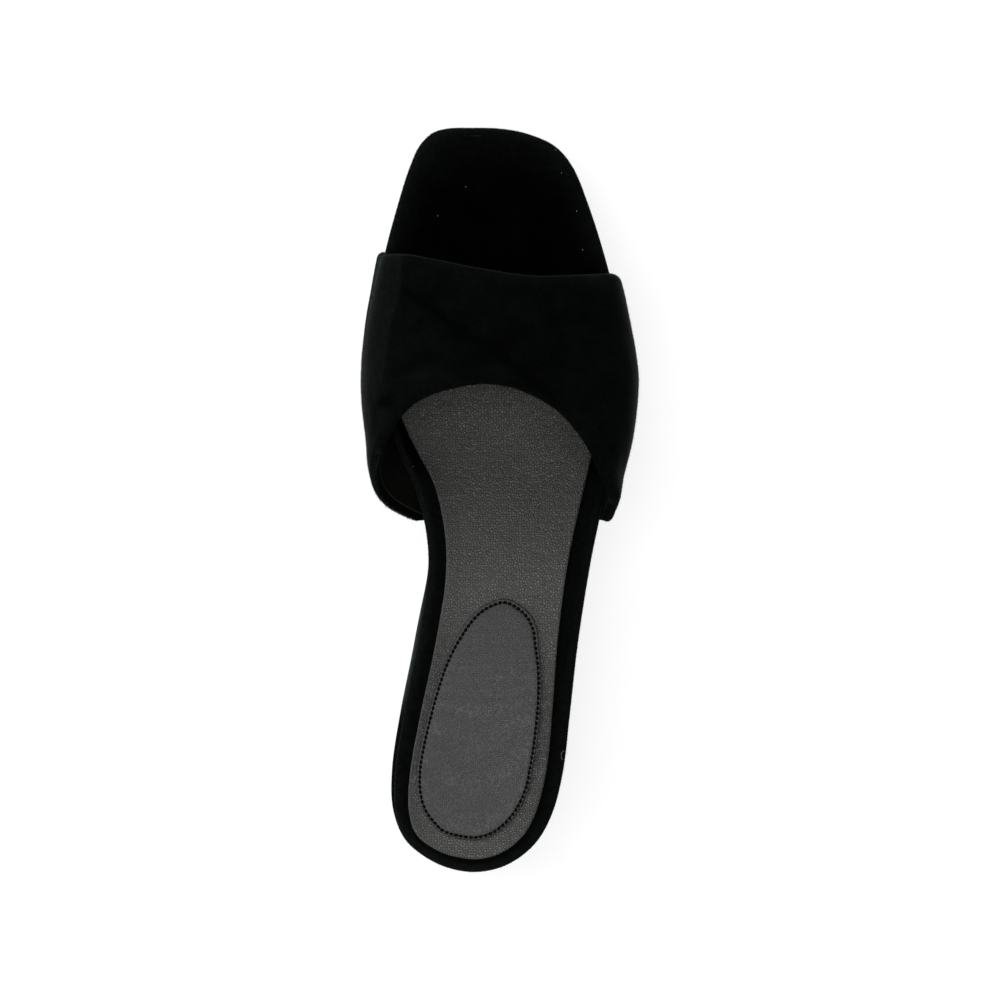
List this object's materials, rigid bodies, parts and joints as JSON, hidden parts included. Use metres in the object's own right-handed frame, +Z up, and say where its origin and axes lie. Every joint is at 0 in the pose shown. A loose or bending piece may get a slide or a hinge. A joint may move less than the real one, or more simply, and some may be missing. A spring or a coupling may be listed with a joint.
{
  "type": "platform wedge mule sandal",
  "caption": "Open-toe wedge mule with a velvet-wrapped platform, a wide padded velvet band and a grey leather sock with a stitched heel pad.",
  "frame": {"origin": "middle of the bounding box's footprint, at floor level", "axes": "+Y along the shoe to the toe, +Z up, +X to the outer side of a right foot"},
  "size_m": [0.0888, 0.238, 0.0779],
  "materials": {
    "sole_rubber": "matt black rubber",
    "wedge_velvet": "black velvet, short pile",
    "footbed_velvet": "black velvet, short pile",
    "sock_leather": "grey pebbled leather",
    "pad_leather": "grey fine-grained leather",
    "band_velvet": "black velvet, short pile"
  },
  "bodies": {
    "root": {"outsole": "sole_rubber", "platform": "wedge_velvet", "footbed": "footbed_velvet", "sock": "sock_leather", "heel_pad": "pad_leather", "upper": "band_velvet"}
  },
  "joints": []
}
